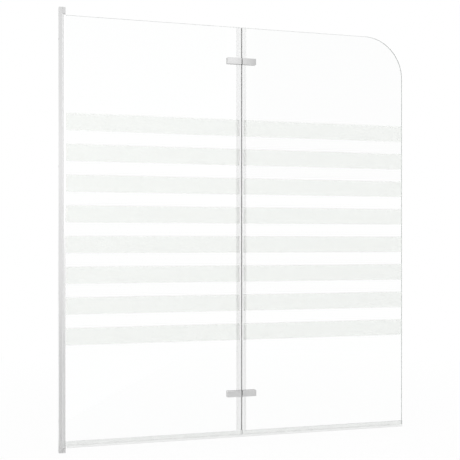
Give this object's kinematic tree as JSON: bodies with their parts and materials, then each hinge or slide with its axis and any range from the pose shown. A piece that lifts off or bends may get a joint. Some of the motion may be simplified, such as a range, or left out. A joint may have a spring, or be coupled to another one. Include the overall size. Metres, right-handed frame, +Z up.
{
  "type": "folding bath screen",
  "caption": "Folding glass bath screen: a striped pane that pivots in a slim wall profile and carries a second, round-cornered pane on chrome clamp hinges.",
  "frame": {"origin": "on the wall face, at the middle of the wall profile's length and width, which is the centre of the wall-screw holes", "axes": "+X away from the wall along the screen, +Z up, +Y from the screen's front (the pictured side) to its back"},
  "size_m": [1.2, 0.0235, 1.4],
  "materials": {
    "clear_glass": "clear toughened glass",
    "frosted_print": "satin frosted layer",
    "silver_aluminium": "bright anodised",
    "silver_block": "satin silver",
    "polished_chrome": "polished chrome plate",
    "stainless_steel": "turned stainless",
    "grey_nylon": "moulded nylon",
    "clear_gasket": "translucent PVC",
    "clear_seal": "clear extruded PVC",
    "grey_rubber": "soft extruded seal"
  },
  "bodies": {
    "wall_frame": {"wall_channel": "silver_aluminium", "upper_pivot_block": "silver_block", "lower_pivot_block": "silver_block", "upper_pivot_bush": "grey_nylon", "lower_pivot_bush": "grey_nylon", "pivot_block_screws": "stainless_steel", "front_wiper_seal": "clear_gasket", "back_wiper_seal": "clear_gasket"},
    "inner_panel": {"pivot_rod": "silver_aluminium", "upper_pivot_plug": "grey_nylon", "lower_pivot_plug": "grey_nylon", "glazing_gasket": "clear_gasket", "inner_glass": "clear_glass", "inner_frost_bands": "frosted_print", "inner_bottom_seal": "clear_seal", "inner_fold_seal_lower": "clear_seal", "fold_bulb_lower": "grey_rubber", "inner_fold_seal_middle": "clear_seal", "fold_bulb_middle": "grey_rubber", "inner_fold_seal_upper": "clear_seal", "fold_bulb_upper": "grey_rubber", "upper_inner_front_plate": "polished_chrome", "upper_inner_back_leaf": "polished_chrome", "upper_inner_pads": "clear_gasket", "upper_inner_sleeves": "clear_gasket", "upper_inner_screws": "stainless_steel", "upper_hinge_pin": "stainless_steel", "lower_inner_front_plate": "polished_chrome", "lower_inner_back_leaf": "polished_chrome", "lower_inner_pads": "clear_gasket", "lower_inner_sleeves": "clear_gasket", "lower_inner_screws": "stainless_steel", "lower_hinge_pin": "stainless_steel"},
    "outer_panel": {"outer_glass": "clear_glass", "outer_frost_bands": "frosted_print", "outer_bottom_seal": "clear_seal", "outer_fold_seal_lower": "clear_seal", "outer_fold_seal_middle": "clear_seal", "outer_fold_seal_upper": "clear_seal", "upper_outer_front_plate": "polished_chrome", "upper_outer_back_leaf": "polished_chrome", "upper_outer_pads": "clear_gasket", "upper_outer_sleeves": "clear_gasket", "upper_outer_screws": "stainless_steel", "upper_knuckle_bushes": "grey_nylon", "lower_outer_front_plate": "polished_chrome", "lower_outer_back_leaf": "polished_chrome", "lower_outer_pads": "clear_gasket", "lower_outer_sleeves": "clear_gasket", "lower_outer_screws": "stainless_steel", "lower_knuckle_bushes": "grey_nylon"}
  },
  "joints": [
    {"name": "wall_pivot", "type": "hinge", "parent": "wall_frame", "child": "inner_panel", "pos_m": [0.015, 0, 0], "axis": [0, 0, 1], "range_deg": [-90, 0]},
    {"name": "fold", "type": "hinge", "parent": "inner_panel", "child": "outer_panel", "pos_m": [0.6045, 0.01, 0], "axis": [0, 0, 1], "range_deg": [0, 180]}
  ]
}
